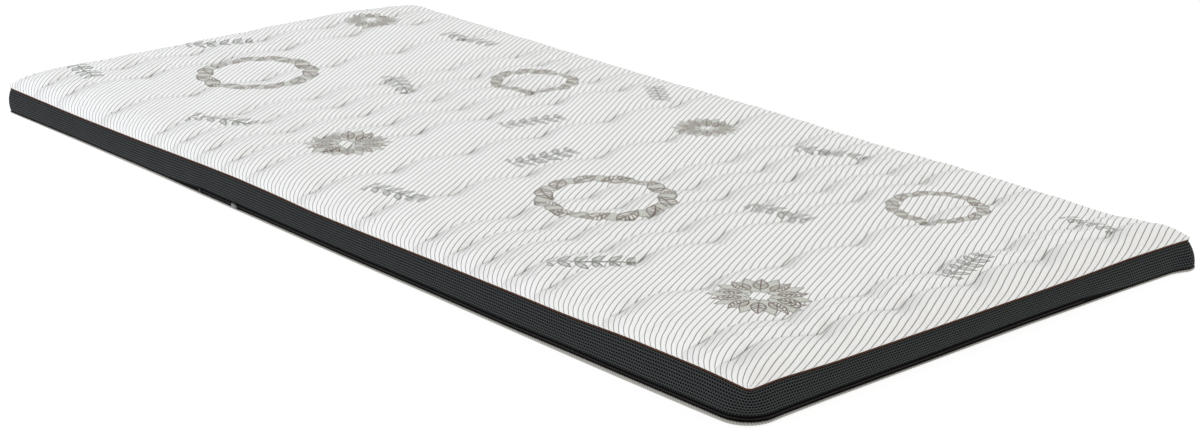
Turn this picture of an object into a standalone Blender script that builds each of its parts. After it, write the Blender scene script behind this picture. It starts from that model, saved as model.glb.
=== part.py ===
"""Mattress topper, 90 x 190 cm, lying flat on its base.

A crowned, quilted top panel with its filling stands inside a low border of
dark spacer mesh. A brown cord covers each of the border's two seams, a coil
zip runs under the border along the front and round the right-hand end, and a
flat base panel closes the underside. X runs along the length, Y across the
width from front to back, and the origin is at the centre of the flat base.
"""

import math

import bmesh
import bpy
from mathutils import Vector

MM = 0.001

# Driving sizes
LENGTH = 1890 * MM            # seam to seam, along X
WIDTH = 900 * MM              # seam to seam, along Y
BORDER_THICKNESS = 3.5 * MM
BORDER_BOW = 2.5 * MM         # how far the mesh strip bulges half-way up
CLEARANCE = 0.3 * MM          # between pieces that touch
CORNER_EASE = 2.2 * MM        # more room for the filling inside the corners
FILLING_PLAY = 0.1 * MM       # and a little inside the straight walls

# Radii of the corners, seen from above,
# from the front left one on, anticlockwise: nearly square at the top seam, and
# at the base rounded only where the zip turns the front right one
SEAM_CORNERS = [8 * MM] * 4
FOOT_CORNERS = [12 * MM, 40 * MM, 12 * MM, 14 * MM]

# Sewn cords over the two seams
TOP_CORD_RADIUS = 1.1 * MM
TOP_CORD_INSET = 1.0 * MM
BASE_CORD_RADIUS = 0.9 * MM
BASE_CORD_INSET = 1.2 * MM

# Zip, from a third of the way along the front to near the right end's far
# corner, by the places of FOOT_ROWS
ZIP_PLACES = (0.32, 1.76)
ZIP_TAPE_HEIGHT = 6.0 * MM
ZIP_TAPE_THICKNESS = 1.2 * MM
ZIP_TAPE_INSET = 0.6 * MM
ZIP_COIL_RADIUS = 1.1 * MM
ZIP_SLIDER_X = -200 * MM
ZIP_STOP_X = -300 * MM
SLIDER_SIZE = (9.0 * MM, 5.6 * MM)        # along the zip, up
STOP_SIZE = (4.5 * MM, 4.6 * MM)
SLIDER_PLATE = 1.2 * MM                   # metal in front of the coil
STOP_PLATE = 0.8 * MM
CHANNEL_ROOM = 1.5 * MM                   # half the channel the coil runs in
PULL_SIZE = (15.0 * MM, 1.0 * MM, 5.0 * MM)    # along, out, up
PULL_OVERHANG = 3.0 * MM                  # from the slider's middle to the pull's end
PULL_EYE_RADIUS = 1.3 * MM
PULL_EYE_INSET = 2.6 * MM                 # from the pull's other end

# Base panel
BASE_THICKNESS = 2.5 * MM
BASE_CAP_INSET = 6.0 * MM                 # inside this the base is its thickness
# The rolled edge of the base, from the floor up: share of the tuck that it is
# still under the topper, millimetres further in, and share of the rim's height.
ROLL_ROWS = [(0.5, 0.0, 0.13), (0.13, -0.2, 0.5), (0.0, -0.6, 0.8),
             (0.0, 0.6, 1.0), (0.0, 2.2, 1.0)]

# Crown of the quilted top
CROWN = 26 * MM               # above the seam, in the middle
CROWN_LEFT_GAIN = 7 * MM      # the left end stands fuller
CROWN_BACK_LOSS = 10 * MM     # the top falls off towards the back
BACK_FALL = (250 * MM, 200 * MM)      # from this Y on, over this much
CROWN_REACH = 70 * MM         # from the seam to where the top levels out
CROWN_POWER = 2.2
LIP_HEIGHT = 4.5 * MM         # where the top bulges past its seam
LIP_OUTSET = 1.0 * MM
UNDERSIDE_INSET = 12 * MM     # the filling's flat underside, from the foot

# Quilting: rows of stitching that wave across the width, all in step
STITCH_ROWS = [-920, -842, -765, -615, -460, -388, -315, -240, -168, -30,
               118, 265, 333, 398, 468, 535, 675, 828, 890]      # mm, along X
WAVE_LENGTH = 147.5 * MM
WAVE_SWING = 11 * MM
WAVE_CREST = 10 * MM          # a crest lies at this Y
WAVE_LEAN = 0.35              # one flank of the wave is the steeper
WAVE_FADE = 45 * MM           # over this the waves straighten to the ends
EDGE_SWEEP = 12 * MM          # the rows sweep left as they turn down the sides
SWEEP_REACH = 70 * MM
STITCH_DEPTH = 4.5 * MM
PUFF_POWER = 0.6              # under 1: full puffs with narrow valleys
END_FULLNESS = 0.35           # at the two ends, next to the seam
LAST_PUFF = (20 * MM, 0.7)    # one more column after the last row: step, fullness
WIDE_PUFF = 110 * MM          # puffs wider than this take more columns
PUFF_CELLS = (3, 5)           # columns to a narrow puff and to a wide one
EDGE_STEPS = [0, 3, 10, 20]   # mm from the seam, where the top curves most
SIDE_STEPS = EDGE_STEPS + [36]
ROWS_BETWEEN = 34             # of the grid, across the width

# Round the perimeter the pieces share these stations. Distances are from
# each corner, in mm, close together where the outline turns.
CORNER_STEPS = [0, 6, 14, 26, 40]
LONG_STEPS = 18
SHORT_STEPS = 8

# How the foot and the seam wander. place: 0 to 1 along the front, left to
# right, 1 to 2 up the right end, 2 to 3 along the back and 3 to 4 down the
# left end. rim: height of the base panel's edge. flare: how far the foot
# stands outside the seam. seam: height of the seam. tuck: how far the base
# rolls in under the topper before it touches the floor. All but place are in mm.
FOOT_COLUMNS = ("place", "rim", "flare", "seam", "tuck")
FOOT_ROWS = [
    (0.00, 2.0, 4.0, 44.0, 7.0),
    (0.13, 4.5, 4.0, 43.5, 9.0),
    (0.24, 5.5, 4.5, 46.3, 10.0),
    (0.34, 5.0, 6.0, 50.3, 10.0),
    (0.39, 5.0, 7.0, 51.5, 9.0),
    (0.45, 5.3, 8.0, 50.2, 9.0),
    (0.50, 5.0, 8.5, 47.5, 6.0),
    (0.56, 4.8, 9.0, 48.0, 7.0),
    (0.66, 5.8, 10.0, 50.0, 8.0),
    (0.77, 5.8, 11.0, 51.5, 7.0),
    (0.82, 6.8, 11.0, 51.5, 4.5),
    (0.88, 7.0, 11.0, 55.3, 4.5),
    (0.96, 7.0, 10.0, 55.8, 5.0),
    (1.00, 6.0, 8.0, 52.0, 7.0),
    (1.06, 6.8, 5.0, 53.5, 11.0),
    (1.16, 6.2, 3.0, 49.8, 12.0),
    (1.38, 5.0, 1.0, 47.7, 12.0),
    (1.50, 5.8, 0.8, 47.1, 12.0),
    (1.60, 5.8, 0.5, 46.8, 12.0),
    (1.72, 5.2, 1.0, 46.5, 11.0),
    (1.84, 4.5, 1.5, 47.8, 10.0),
    (1.93, 4.0, 2.0, 46.6, 9.0),
    (2.00, 3.5, 10.0, 44.8, 8.0),
    (2.08, 3.5, 4.0, 42.5, 8.0),
    (2.25, 3.5, 4.0, 43.0, 8.0),
    (2.50, 3.0, 4.0, 44.5, 8.0),
    (2.75, 3.5, 4.5, 45.0, 8.0),
    (3.00, 3.0, 4.0, 46.0, 7.0),
    (3.30, 3.0, 3.5, 47.0, 8.0),
    (3.60, 3.0, 3.5, 45.0, 8.0),
    (4.00, 2.0, 4.0, 44.0, 7.0),
]

SIDES = [  # start corner, direction, outward normal, length
    (Vector((-LENGTH / 2, -WIDTH / 2)), Vector((1, 0)), Vector((0, -1)), LENGTH),
    (Vector((LENGTH / 2, -WIDTH / 2)), Vector((0, 1)), Vector((1, 0)), WIDTH),
    (Vector((LENGTH / 2, WIDTH / 2)), Vector((-1, 0)), Vector((0, 1)), LENGTH),
    (Vector((-LENGTH / 2, WIDTH / 2)), Vector((0, -1)), Vector((-1, 0)), WIDTH),
]


# ---------------------------------------------------------------- outline

def smooth(value):
    """Rise softly from 0 to 1 as value goes from 0 to 1."""
    value = min(max(value, 0.0), 1.0)
    return value * value * (3 - 2 * value)


def side_distances(side):
    """Distances of the stations from the side's start corner, end left out."""
    length = SIDES[side][3]
    steps = LONG_STEPS if side % 2 == 0 else SHORT_STEPS
    turn = CORNER_STEPS[-1] * MM
    start = [step * MM for step in CORNER_STEPS]
    middle = [turn + (length - 2 * turn) * k / steps for k in range(1, steps)]
    end = [length - step * MM for step in reversed(CORNER_STEPS[1:])]
    return start + middle + end


STATIONS = [(side, d) for side in range(4) for d in side_distances(side)]


def foot_value(column, side, distance):
    """Read a column of FOOT_ROWS, in metres, straight between its rows."""
    index = FOOT_COLUMNS.index(column)
    place = side + distance / SIDES[side][3]
    for low, high in zip(FOOT_ROWS, FOOT_ROWS[1:]):
        if place <= high[0]:
            share = (place - low[0]) / (high[0] - low[0])
            return (low[index] + (high[index] - low[index]) * share) * MM
    return FOOT_ROWS[-1][index] * MM


def outline_point(side, distance, corners):
    """Point and outward normal on a rectangle with rounded corners."""
    start, along, out, length = SIDES[side]
    before = SIDES[side - 1]
    after = SIDES[(side + 1) % 4]
    near, far = corners[side], corners[(side + 1) % 4]
    if distance < near:
        angle = math.radians(45) * (1 - distance / near)
        normal = out * math.cos(angle) + before[2] * math.sin(angle)
        return start + (along - out) * near + normal * near, normal
    if distance > length - far:
        angle = math.radians(45) * (1 - (length - distance) / far)
        normal = out * math.cos(angle) + after[2] * math.sin(angle)
        return start + along * (length - far) - out * far + normal * far, normal
    return start + along * distance, out.copy()


def has_zip(side, distance):
    """Whether the zip is let in under the border at this station."""
    place = side + distance / SIDES[side][3]
    return ZIP_PLACES[0] < place < ZIP_PLACES[1]


def heights(side, distance):
    """Heights of the rim, the foot of the border and the seam."""
    rim = foot_value("rim", side, distance)
    seat = rim + 2 * CLEARANCE + 2 * BASE_CORD_RADIUS
    zip_room = ZIP_TAPE_HEIGHT + CLEARANCE if has_zip(side, distance) else 0.0
    seam = foot_value("seam", side, distance)
    return {"rim": rim, "seat": seat, "foot": seat + zip_room, "seam": seam}


def corner_ease(side, distance):
    """Extra room for the filling where the border's wall turns and twists."""
    nearest = min(distance, SIDES[side][3] - distance)
    return CORNER_EASE if nearest < CORNER_STEPS[-1] * MM + 1e-6 else 0.0


def foot_loop(inset, level, raise_by=0.0, ease=False, tucked=0.0):
    """Loop of points at the foot's outline, at a named height, inset from it,
    and by a share of the tuck besides."""
    points = []
    for side, distance in STATIONS:
        spot, normal = outline_point(side, distance, FOOT_CORNERS)
        give = corner_ease(side, distance) if ease else 0.0
        give += tucked * foot_value("tuck", side, distance)
        spot = spot + normal * (foot_value("flare", side, distance) - inset - give)
        points.append(Vector((*spot, heights(side, distance)[level] + raise_by)))
    return points


def seam_loop(inset, raise_by=0.0, ease=False):
    """Loop of points at the seam's outline, inset from it."""
    points = []
    for side, distance in STATIONS:
        spot, normal = outline_point(side, distance, SEAM_CORNERS)
        give = corner_ease(side, distance) if ease else 0.0
        spot = spot - normal * (inset + give)
        points.append(Vector((*spot, heights(side, distance)["seam"] + raise_by)))
    return points


def point_on(loop, side, distance):
    """Point of a station loop at any distance along a side."""
    distances = side_distances(side) + [SIDES[side][3]]
    first = STATIONS.index((side, 0.0))
    for k, (low, high) in enumerate(zip(distances, distances[1:])):
        if distance <= high + 1e-9:
            share = (distance - low) / (high - low)
            return loop[first + k].lerp(loop[(first + k + 1) % len(loop)], share)
    return loop[(first + len(distances) - 1) % len(loop)].copy()


# ----------------------------------------------------------- blender tools

def clear_scene():
    for item in list(bpy.data.objects):
        bpy.data.objects.remove(item, do_unlink=True)


def new_collection(name):
    collection = bpy.data.collections.new(name)
    bpy.context.scene.collection.children.link(collection)
    return collection


def make_material(name, colour, roughness, metallic=0.0):
    material = bpy.data.materials.new(name)
    material.use_nodes = True
    shader = material.node_tree.nodes["Principled BSDF"]
    shader.inputs["Base Color"].default_value = (*colour, 1.0)
    shader.inputs["Roughness"].default_value = roughness
    shader.inputs["Metallic"].default_value = metallic
    return material


def finish_mesh(name, bm, collection, material):
    """Turn a bmesh into an object with outward faces and smooth shading."""
    bmesh.ops.recalc_face_normals(bm, faces=bm.faces)
    mesh = bpy.data.meshes.new(name)
    bm.to_mesh(mesh)
    bm.free()
    mesh.materials.append(material)
    mesh.shade_smooth()
    mesh.set_sharp_from_angle(angle=math.radians(40))
    item = bpy.data.objects.new(name, mesh)
    collection.objects.link(item)
    return item


def bridge(bm, lower, upper, closed=True):
    """Join two rows of vertices with a band of quads."""
    count = len(lower)
    for k in range(count if closed else count - 1):
        n = (k + 1) % count
        bm.faces.new((lower[k], lower[n], upper[n], upper[k]))


def ring_solid(name, loops, collection, material):
    """Closed ring through a cycle of loops, such as a border."""
    bm = bmesh.new()
    rows = [[bm.verts.new(point) for point in loop] for loop in loops]
    for lower, upper in zip(rows, rows[1:] + rows[:1]):
        bridge(bm, lower, upper)
    return finish_mesh(name, bm, collection, material)


def slab_solid(name, loops, collection, material):
    """Closed slab through a stack of loops, with a flat cap at each end."""
    bm = bmesh.new()
    rows = [[bm.verts.new(point) for point in loop] for loop in loops]
    for lower, upper in zip(rows, rows[1:]):
        bridge(bm, lower, upper)
    bm.faces.new(rows[0])
    bm.faces.new(rows[-1])
    return finish_mesh(name, bm, collection, material)


def strip_solid(name, loops, collection, material):
    """Closed strip with two ends, through a cycle of open rows."""
    bm = bmesh.new()
    rows = [[bm.verts.new(point) for point in loop] for loop in loops]
    for lower, upper in zip(rows, rows[1:] + rows[:1]):
        bridge(bm, lower, upper, closed=False)
    bm.faces.new([row[0] for row in rows])
    bm.faces.new([row[-1] for row in rows])
    return finish_mesh(name, bm, collection, material)


def cord_solid(name, points, radius, closed, collection, material):
    """Round cord along a row of points, as a bevelled curve."""
    curve = bpy.data.curves.new(name, "CURVE")
    curve.dimensions = "3D"
    curve.bevel_depth = radius
    curve.bevel_resolution = 1
    curve.use_fill_caps = True
    curve.materials.append(material)
    spline = curve.splines.new("POLY")
    spline.points.add(len(points) - 1)
    for target, point in zip(spline.points, points):
        target.co = (*point, 1.0)
    spline.use_cyclic_u = closed
    item = bpy.data.objects.new(name, curve)
    collection.objects.link(item)
    return item


def block_mesh(bm, low, high):
    """Add a box between two corners to a bmesh."""
    size = Vector(high) - Vector(low)
    made = bmesh.ops.create_cube(bm, size=1.0)["verts"]
    for vert in made:
        vert.co = Vector(low) + Vector(
            (size[axis] * (vert.co[axis] + 0.5) for axis in range(3)))
    return made


# ------------------------------------------------------------------ pieces

def crown_height(x, y):
    """Height of the top over its seam, away from the seam."""
    left = smooth((-x - 0.2) / 0.7)
    back = smooth((y - BACK_FALL[0]) / BACK_FALL[1])
    swell = 1.0 * MM * math.sin(5.3 * x + 2.1) * math.cos(4.2 * y + 0.4)
    return CROWN + CROWN_LEFT_GAIN * left - CROWN_BACK_LOSS * back + swell


def crown_profile(distance):
    """0 at the seam, 1 where the top has levelled out."""
    rest = 1 - min(max(distance / CROWN_REACH, 0.0), 1.0)
    return (1 - rest ** CROWN_POWER) ** (1 / CROWN_POWER)


def wave_shift(y):
    """Sideways shift of every stitch row at this Y."""
    phase = 2 * math.pi * (y - WAVE_CREST) / WAVE_LENGTH
    sweep = 1 - smooth((WIDTH / 2 - abs(y)) / SWEEP_REACH)
    return (WAVE_SWING * math.cos(phase + WAVE_LEAN * math.sin(phase))
            - EDGE_SWEEP * sweep)


def puff(share):
    """Fullness across a channel, 0 at its stitch rows and 1 between them."""
    return math.sin(math.pi * share) ** PUFF_POWER


def panel_columns():
    """Columns of the quilted grid: X, and fullness between stitch rows."""
    half = LENGTH / 2
    columns = [(-half + step * MM, END_FULLNESS) for step in EDGE_STEPS]
    rows = [row * MM for row in STITCH_ROWS]
    for left, right in zip(rows, rows[1:]):
        cells = PUFF_CELLS[1] if right - left > WIDE_PUFF else PUFF_CELLS[0]
        for k in range(cells):
            columns.append((left + (right - left) * k / cells, puff(k / cells)))
    columns.append((rows[-1], 0.0))
    columns.append((rows[-1] + LAST_PUFF[0], LAST_PUFF[1]))
    columns += [(half - step * MM, END_FULLNESS) for step in reversed(EDGE_STEPS)]
    return columns


def panel_rows():
    """Y of each row of the quilted grid."""
    half = WIDTH / 2
    edge = [step * MM for step in SIDE_STEPS]
    reach = half - edge[-1]
    middle = [-reach + 2 * reach * k / ROWS_BETWEEN for k in range(1, ROWS_BETWEEN)]
    return [-half + d for d in edge] + middle + [half - d for d in reversed(edge)]


def perimeter_place(x, y):
    """Side and distance of a point on the edge of the plain rectangle."""
    half_x, half_y = LENGTH / 2, WIDTH / 2
    if abs(y + half_y) < 1e-9 and x < half_x - 1e-9:
        return 0, x + half_x
    if abs(x - half_x) < 1e-9 and y < half_y - 1e-9:
        return 1, y + half_y
    if abs(y - half_y) < 1e-9 and x > -half_x + 1e-9:
        return 2, half_x - x
    return 3, half_y - y


def seam_height_at(x, y):
    """Height of the seam plane under a point of the top, from its edges."""
    half_x, half_y = LENGTH / 2, WIDTH / 2
    pulls = []
    for side, distance, away in ((0, x + half_x, y + half_y),
                                 (1, y + half_y, half_x - x),
                                 (2, half_x - x, half_y - y),
                                 (3, half_y - y, x + half_x)):
        weight = 1 / (away + 5 * MM) ** 2
        pulls.append((weight, heights(side, distance)["seam"]))
    return sum(w * h for w, h in pulls) / sum(w for w, h in pulls)


def make_quilted_panel(collection, material):
    """Quilted top with its filling: a grid over the top, walls down inside
    the border, and a flat underside on the base panel."""
    columns, rows = panel_columns(), panel_rows()
    half_x, half_y = LENGTH / 2, WIDTH / 2
    lip = seam_loop(-LIP_OUTSET, LIP_HEIGHT)
    bm = bmesh.new()
    bmesh.ops.create_grid(bm, x_segments=len(columns) - 1, y_segments=len(rows) - 1, size=1.0)
    places = {}
    for vert in bm.verts:
        i = round((vert.co.x + 1) / 2 * (len(columns) - 1))
        j = round((vert.co.y + 1) / 2 * (len(rows) - 1))
        base_x, full = columns[i]
        y = rows[j]
        inside = half_x - abs(base_x)
        x = base_x + wave_shift(y) * smooth(inside / WAVE_FADE)
        if i in (0, len(columns) - 1) or j in (0, len(rows) - 1):
            places[vert] = perimeter_place(x, y)
            vert.co = point_on(lip, *places[vert])
            continue
        rise = crown_profile(half_x - abs(x)) * crown_profile(half_y - abs(y))
        over_seam = LIP_HEIGHT + (crown_height(x, y) - LIP_HEIGHT) * rise
        relief = STITCH_DEPTH * (full - 1) * rise
        vert.co = (x, y, seam_height_at(x, y) + over_seam + relief)

    cord_top = TOP_CORD_RADIUS + CLEARANCE
    pinch = TOP_CORD_INSET + cord_top + CLEARANCE
    wall = BORDER_THICKNESS + CLEARANCE + FILLING_PLAY
    sections = [
        seam_loop(CLEARANCE, cord_top + CLEARANCE),
        seam_loop(pinch, TOP_CORD_RADIUS),
        seam_loop(wall, CLEARANCE - cord_top, ease=True),
        foot_loop(wall, "foot", ease=True),
        foot_loop(UNDERSIDE_INSET, "foot"),
    ]
    for point in sections[-1]:
        point.z = BASE_THICKNESS + CLEARANCE
    edges = [edge for edge in bm.edges if edge.is_boundary]
    for section in sections:
        made = bmesh.ops.extrude_edge_only(bm, edges=edges)["geom"]
        new_edges = [item for item in made if isinstance(item, bmesh.types.BMEdge)]
        new_verts = {item for item in made if isinstance(item, bmesh.types.BMVert)}
        old_places, places = places, {}
        for vert in new_verts:
            above = next(edge.other_vert(vert) for edge in vert.link_edges
                         if edge.other_vert(vert) in old_places)
            places[vert] = old_places[above]
        for vert, place in places.items():
            vert.co = point_on(section, *place)
        edges = [edge for edge in new_edges if edge.verts[0] in places
                 and edge.verts[1] in places]
    bmesh.ops.edgeloop_fill(bm, edges=edges)
    return finish_mesh("quilted_panel", bm, collection, material)


def make_border(collection, material):
    """Strip of spacer mesh between the two seams, bowed out a little."""
    drop = -(TOP_CORD_RADIUS + CLEARANCE)
    foot, seam = foot_loop(0.0, "foot"), seam_loop(0.0, drop)
    outer = []
    for share in (0.0, 0.3, 0.65, 1.0):
        loop = []
        for (side, distance), low, high in zip(STATIONS, foot, seam):
            point = low.lerp(high, share)
            normal = outline_point(side, distance, FOOT_CORNERS)[1]
            point += Vector((*normal, 0.0)) * BORDER_BOW * math.sin(math.pi * share)
            loop.append(point)
        outer.append(loop)
    inner = [seam_loop(BORDER_THICKNESS, drop), foot_loop(BORDER_THICKNESS, "foot")]
    return ring_solid("border", outer + inner, collection, material)


def make_cords(collection, material):
    """Brown cords over the top seam and the base seam."""
    cord_solid("top_cord", seam_loop(TOP_CORD_INSET), TOP_CORD_RADIUS,
               True, collection, material)
    base_rise = CLEARANCE + BASE_CORD_RADIUS
    cord_solid("base_cord", foot_loop(BASE_CORD_INSET, "rim", base_rise),
               BASE_CORD_RADIUS, True, collection, material)


def make_base_panel(collection, material):
    """Thin base with a soft rolled edge that shows under the border."""
    contact = foot_loop(0.0, "rim", tucked=1.0)
    for point in contact:
        point.z = 0.0
    loops = [contact]
    for tucked, inset, share in ROLL_ROWS:
        loop = foot_loop(inset * MM, "rim", tucked=tucked)
        for point in loop:
            point.z *= share
        loops.append(loop)
    cap = foot_loop(BASE_CAP_INSET, "rim")
    for point in cap:
        point.z = BASE_THICKNESS
    loops.append(cap)
    return slab_solid("base_panel", loops, collection, material)


def zip_stations():
    """Indexes of the stations that the zip passes."""
    return [k for k, place in enumerate(STATIONS) if has_zip(*place)]


def make_zip(collection, tape_material, coil_material):
    """Tape let in under the border, with the coil lying on its face."""
    stations = zip_stations()
    inner_inset = ZIP_TAPE_INSET + ZIP_TAPE_THICKNESS
    outer = foot_loop(ZIP_TAPE_INSET, "seat")
    inner = foot_loop(inner_inset, "seat")
    tall = Vector((0, 0, ZIP_TAPE_HEIGHT))
    rows = [[outer[k] for k in stations], [outer[k] + tall for k in stations],
            [inner[k] + tall for k in stations], [inner[k] for k in stations]]
    for row in rows:
        row[0] = row[0].lerp(row[1], CLEARANCE / (row[1] - row[0]).length)
        row[-1] = row[-1].lerp(row[-2], CLEARANCE / (row[-2] - row[-1]).length)
    strip_solid("zip_tape", rows, collection, tape_material)
    stand_off = ZIP_TAPE_INSET - CLEARANCE - ZIP_COIL_RADIUS
    coil = foot_loop(stand_off, "seat", ZIP_TAPE_HEIGHT / 2)
    cord_solid("zip_coil", [coil[k] for k in stations], ZIP_COIL_RADIUS,
               False, collection, coil_material)


def coil_point(x):
    """Centre of the coil on the front, at this X, and the way it runs."""
    stand_off = ZIP_TAPE_INSET - CLEARANCE - ZIP_COIL_RADIUS
    coil = foot_loop(stand_off, "seat", ZIP_TAPE_HEIGHT / 2)
    here = point_on(coil, 0, x + LENGTH / 2)
    there = point_on(coil, 0, x + LENGTH / 2 + 10 * MM)
    return here, (there - here).normalized()


def clip_on_coil(name, x, size, plate, collection, cutters, material):
    """Metal clip that wraps the coil from the front, as a slider does."""
    centre, along = coil_point(x)
    room = CHANNEL_ROOM
    behind = ZIP_COIL_RADIUS
    bm = bmesh.new()
    block_mesh(bm, (-size[0] / 2, -(room + plate), -size[1] / 2),
               (size[0] / 2, behind, size[1] / 2))
    item = finish_mesh(name, bm, collection, material)
    bevel = item.modifiers.new("soft edges", "BEVEL")
    bevel.width = 0.5 * MM
    bevel.segments = 2
    bm = bmesh.new()
    block_mesh(bm, (-size[0], -room, -room), (size[0], 2 * behind, room))
    cutter = finish_mesh(name + "_channel", bm, cutters, material)
    cutter.hide_render = True
    cutter.display_type = "WIRE"
    channel = item.modifiers.new("channel", "BOOLEAN")
    channel.operation = "DIFFERENCE"
    channel.object = cutter
    turn = along.to_track_quat("X", "Z")
    for thing in (item, cutter):
        thing.rotation_mode = "QUATERNION"
        thing.rotation_quaternion = turn
        thing.location = centre
    return centre, turn


def make_zip_metal(collection, cutters, material):
    """Slider, its pull lying along the zip, and the stop at the zip's end."""
    clip_on_coil("zip_end_stop", ZIP_STOP_X, STOP_SIZE, STOP_PLATE,
                 collection, cutters, material)
    centre, turn = clip_on_coil("zip_slider", ZIP_SLIDER_X, SLIDER_SIZE,
                                SLIDER_PLATE, collection, cutters, material)
    face = CHANNEL_ROOM + SLIDER_PLATE + CLEARANCE
    long, thick, tall = PULL_SIZE
    bm = bmesh.new()
    block_mesh(bm, (-PULL_OVERHANG, -(face + thick), -tall / 2),
               (long - PULL_OVERHANG, -face, tall / 2))
    pull = finish_mesh("zip_pull", bm, collection, material)
    bevel = pull.modifiers.new("soft edges", "BEVEL")
    bevel.width = 0.3 * MM
    bevel.segments = 2
    bm = bmesh.new()
    bmesh.ops.create_cone(bm, cap_ends=True, segments=16, radius1=PULL_EYE_RADIUS,
                          radius2=PULL_EYE_RADIUS, depth=8 * MM)
    bmesh.ops.rotate(bm, verts=bm.verts, matrix=Vector((0, 0, 1)).rotation_difference(
        Vector((0, 1, 0))).to_matrix())
    eye_x = long - PULL_OVERHANG - PULL_EYE_INSET
    bmesh.ops.translate(bm, verts=bm.verts, vec=(eye_x, -(face + thick / 2), 0))
    eye = finish_mesh("zip_pull_eye", bm, cutters, material)
    eye.hide_render = True
    eye.display_type = "WIRE"
    cut = pull.modifiers.new("eye", "BOOLEAN")
    cut.operation = "DIFFERENCE"
    cut.object = eye
    for thing in (pull, eye):
        thing.rotation_mode = "QUATERNION"
        thing.rotation_quaternion = turn
        thing.location = centre


def main():
    clear_scene()
    parts = new_collection("mattress_topper")
    cutters = new_collection("cutters")
    knit = make_material("striped_knit", (0.81, 0.80, 0.77), 0.9)
    mesh_cloth = make_material("spacer_mesh", (0.035, 0.042, 0.042), 0.8)
    cord = make_material("brown_cord", (0.09, 0.04, 0.025), 0.75)
    ticking = make_material("base_ticking", (0.70, 0.68, 0.64), 0.9)
    tape = make_material("zip_tape", (0.012, 0.010, 0.010), 0.85)
    coil = make_material("zip_coil", (0.02, 0.015, 0.015), 0.4)
    metal = make_material("zip_metal", (0.45, 0.45, 0.45), 0.35, 1.0)
    make_quilted_panel(parts, knit)
    make_border(parts, mesh_cloth)
    make_cords(parts, cord)
    make_base_panel(parts, ticking)
    make_zip(parts, tape, coil)
    make_zip_metal(parts, cutters, metal)


main()
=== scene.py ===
# %% [markdown]
# # A quilted mattress topper, dressed on its solids
#
# The solids of the topper are a fixed frame: they say where each piece lies
# and how large it is. This script gives them their looks, cell by cell: the
# crowned and quilted knit top, the border of spacer mesh, the cords over the
# seams, the zip and the light base. Each piece is a surface worked out with
# numpy, on a grid of points, and every pattern is made from shader nodes.

# %% Load the frame
import math

import bpy
import numpy as np
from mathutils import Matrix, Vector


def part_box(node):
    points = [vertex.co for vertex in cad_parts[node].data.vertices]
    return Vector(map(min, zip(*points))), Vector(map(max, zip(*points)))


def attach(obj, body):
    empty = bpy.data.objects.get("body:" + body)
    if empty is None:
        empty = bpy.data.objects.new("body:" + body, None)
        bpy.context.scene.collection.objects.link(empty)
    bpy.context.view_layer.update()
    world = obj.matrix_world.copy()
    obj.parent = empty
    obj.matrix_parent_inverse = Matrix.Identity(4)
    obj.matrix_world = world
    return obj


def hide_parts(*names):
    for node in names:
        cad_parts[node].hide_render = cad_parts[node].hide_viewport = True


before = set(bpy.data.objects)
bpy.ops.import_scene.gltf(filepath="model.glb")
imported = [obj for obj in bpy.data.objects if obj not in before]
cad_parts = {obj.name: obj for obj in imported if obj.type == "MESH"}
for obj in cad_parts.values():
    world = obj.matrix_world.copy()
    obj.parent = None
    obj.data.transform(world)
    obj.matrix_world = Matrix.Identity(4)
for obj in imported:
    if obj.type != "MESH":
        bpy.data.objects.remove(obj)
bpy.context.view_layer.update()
MM = 0.001
print("solids:", sorted(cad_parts))

# %% [markdown]
# ## The photographer's place
#
# A product photo of a flat thing is taken from a little above, with a longish
# lens, so that the near corner doesn't loom. The lens, the two angles and the
# distance were worked out from the four corners of the top. The stage is one
# plain pale floor. Its edge is far outside the view.

# %% Camera and floor
LENS = 72.5                    # mm, on a sensor 36 mm wide
AZIMUTH = 48.95                # degrees, 0 looks along +Y
ELEVATION = 18.54
DISTANCE = 3.760
TARGET = (0.2091, -0.0521, 0.003)
scene = bpy.context.scene


def away(azimuth, elevation):
    """Unit direction to a place on the sky: (sin a cos e, -cos a cos e, sin e)."""
    a, e = math.radians(azimuth), math.radians(elevation)
    return np.array([math.sin(a) * math.cos(e), -math.cos(a) * math.cos(e), math.sin(e)])


camera_data = bpy.data.cameras.new("camera")
camera_data.lens = LENS
camera_data.sensor_width = 36
camera_data.clip_end = 60
camera = bpy.data.objects.new("camera", camera_data)
camera.location = np.array(TARGET) + DISTANCE * away(AZIMUTH, ELEVATION)
camera.rotation_euler = (math.radians(90 - ELEVATION), 0, math.radians(AZIMUTH))
scene.collection.objects.link(camera)
scene.camera = camera

# %% [markdown]
# ## Helpers for materials
#
# Colours are noted as the hex values that a colour picker shows. The shader
# wants linear light, so one function turns them. Another adds a node, with
# its settings and with what goes into its sockets, so that a material reads
# from top to bottom like a recipe.

# %% Colour and node helpers


def linear(code, alpha=1.0):
    """sRGB hex to linear: v / 12.92 when dark, else ((v + 0.055) / 1.055) ^ 2.4."""
    code = code.lstrip("#")
    value = np.array([int(code[k:k + 2], 16) for k in (0, 2, 4)]) / 255
    light = np.where(value <= 0.04045, value / 12.92, ((value + 0.055) / 1.055) ** 2.4)
    return (*[float(v) for v in light], alpha)


# The setting that the second word of a node's kind stands for
MODES = {"Math": "operation", "VectorMath": "operation", "Mix": "data_type",
         "MapRange": "interpolation_type"}


def output(value):
    """A node's first output that its settings leave in use, or the value itself."""
    if isinstance(value, bpy.types.Node):
        return next(socket for socket in value.outputs if socket.enabled)
    return value


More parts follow.
